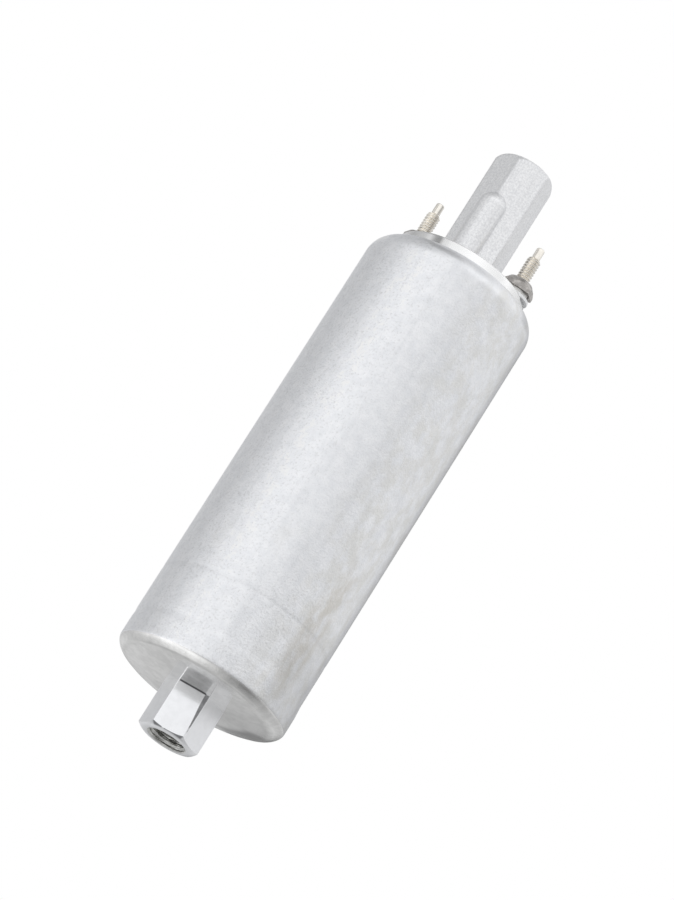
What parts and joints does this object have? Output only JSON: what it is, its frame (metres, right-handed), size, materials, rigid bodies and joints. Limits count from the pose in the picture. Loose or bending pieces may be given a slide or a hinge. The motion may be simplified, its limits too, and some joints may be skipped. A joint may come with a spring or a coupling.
{
  "type": "inline electric fuel pump",
  "caption": "Cylindrical inline electric fuel pump with a hexagonal threaded inlet and outlet, and threaded terminal studs on its end cap.",
  "frame": {"origin": "centre of the inlet port's mouth, the lowest point of the upright pump", "axes": "+Z along the pump's axis from inlet to outlet; the pressure boss on the outlet tower faces -Y, the positive terminal lies towards +X"},
  "size_m": [0.045, 0.045, 0.169],
  "materials": {
    "shell": "etched satin",
    "cast": "as cast with machined faces",
    "fitting": "machined",
    "stud": "nickel plated",
    "nut": "zinc plated, tarnished",
    "insulator": "moulded",
    "moulded": "moulded",
    "rubber": "moulded",
    "pump_metal": "machined",
    "sintered": "ground",
    "steel": "ground",
    "spring": "drawn wire",
    "bronze": "sintered",
    "lamination": "stacked sheet",
    "copper": "enamelled wire and bar",
    "sleeve": "zinc plated",
    "ferrite": "ground ferrite",
    "carbon": "pressed carbon",
    "brass": "drawn"
  },
  "bodies": {
    "housing": {"body_shell": "shell", "end_cap": "cast", "inlet_fitting": "fitting", "terminal_stud_positive": "stud", "terminal_stud_negative": "stud", "terminal_nuts": "nut", "lock_washers": "nut", "terminal_insulators": "insulator", "brush_card": "moulded", "valve_retainer": "moulded", "inlet_strainer": "moulded", "inlet_seal": "rubber", "end_cap_seal": "rubber", "terminal_seals": "rubber", "cushion_ring": "rubber", "inlet_plate": "pump_metal", "outlet_plate": "pump_metal", "valve_seat": "pump_metal", "cam_ring": "sintered", "rotor_pin": "steel", "pump_screws": "steel", "relief_plug": "steel", "relief_spring": "spring", "brush_spring_positive": "spring", "brush_spring_negative": "spring", "check_spring": "spring", "magnet_clips": "spring", "lower_bush": "bronze", "upper_bush": "bronze", "flux_sleeve": "sleeve", "magnet_north": "ferrite", "magnet_south": "ferrite", "brush_tubes": "brass", "terminal_straps": "brass"},
    "armature": {"armature_shaft": "steel", "thrust_washer": "steel", "armature_core": "lamination", "armature_winding": "copper", "commutator_base": "moulded", "commutator_bars": "copper", "drive_coupling": "steel", "inner_rotor": "sintered"},
    "outer_rotor": {"outer_rotor": "sintered"},
    "brush_positive": {"brush_positive": "carbon"},
    "brush_negative": {"brush_negative": "carbon"},
    "check_valve": {"check_valve": "brass"},
    "relief_ball": {"relief_ball": "steel"}
  },
  "joints": [
    {"name": "armature_spin", "type": "hinge", "parent": "housing", "child": "armature", "pos_m": [0, 0, 0.08], "axis": [0, 0, 1], "continuous": true},
    {"name": "outer_rotor_spin", "type": "hinge", "parent": "housing", "child": "outer_rotor", "pos_m": [0.00115, 0, 0.0326], "axis": [0, 0, 1], "continuous": true},
    {"name": "brush_positive_slide", "type": "slide", "parent": "housing", "child": "brush_positive", "axis": [0, 0, 1], "range_m": [0, 0.002], "stiffness_N_per_m": 100, "springref_m": -0.006, "deforming": ["brush_spring_positive"]},
    {"name": "brush_negative_slide", "type": "slide", "parent": "housing", "child": "brush_negative", "axis": [0, 0, 1], "range_m": [0, 0.002], "stiffness_N_per_m": 100, "springref_m": -0.006, "deforming": ["brush_spring_negative"]},
    {"name": "check_valve_slide", "type": "slide", "parent": "housing", "child": "check_valve", "axis": [0, 0, 1], "range_m": [0, 0.0025], "stiffness_N_per_m": 80, "springref_m": -0.005, "deforming": ["check_spring"]},
    {"name": "relief_ball_slide", "type": "slide", "parent": "housing", "child": "relief_ball", "axis": [0, 0, -1], "range_m": [0, 0.0012], "stiffness_N_per_m": 400, "springref_m": -0.003, "deforming": ["relief_spring"]}
  ],
  "couplings": [
    {"joint": "outer_rotor_spin", "follows": "armature_spin", "ratio": 0.85714}
  ]
}
